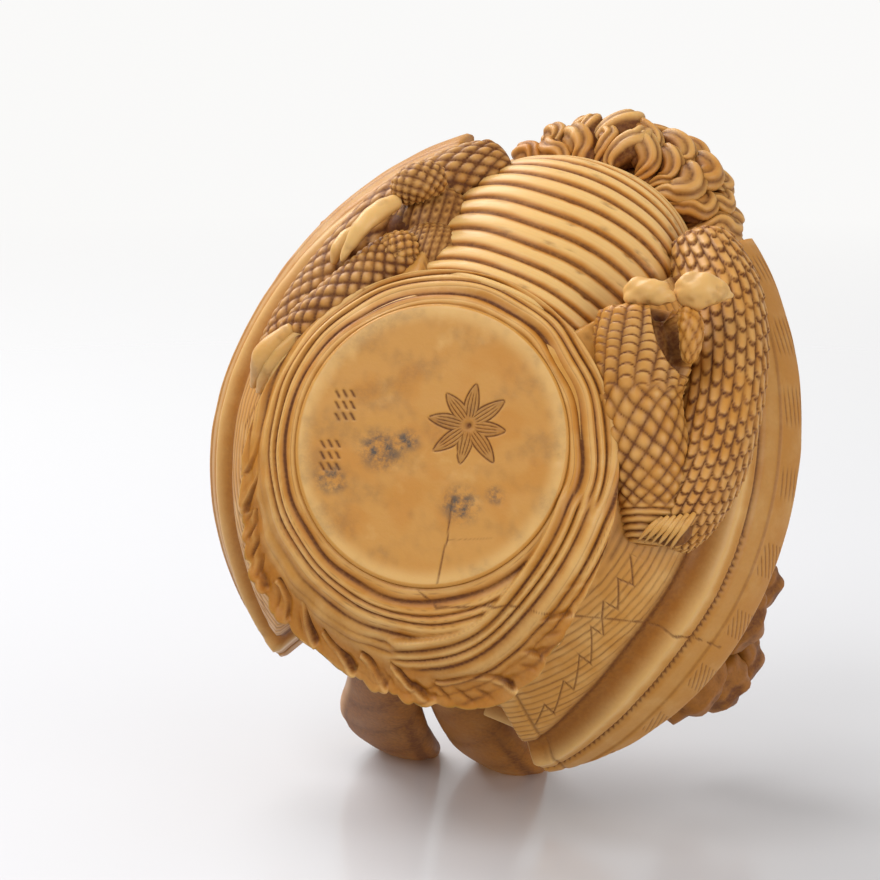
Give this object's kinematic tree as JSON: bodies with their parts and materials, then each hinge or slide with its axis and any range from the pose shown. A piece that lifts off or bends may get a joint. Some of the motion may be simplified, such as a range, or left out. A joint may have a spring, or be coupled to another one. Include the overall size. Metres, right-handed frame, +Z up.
{
  "type": "okimono",
  "caption": "Carved ivory okimono of a dragon-prowed treasure ship on waves, with forelegs along its hull and a heaped load on deck, standing on a flat round foot.",
  "frame": {"origin": "centre of the flat round foot", "axes": "+Z up from the foot, -Y towards the dragon's head at the bow, +Y towards the stern"},
  "size_m": [0.064, 0.0766, 0.0566],
  "materials": {
    "carved_ivory": "polished ivory, stained honey and amber, darker brown in the cuts"
  },
  "bodies": {
    "root": {"okimono": "carved_ivory"}
  },
  "joints": []
}
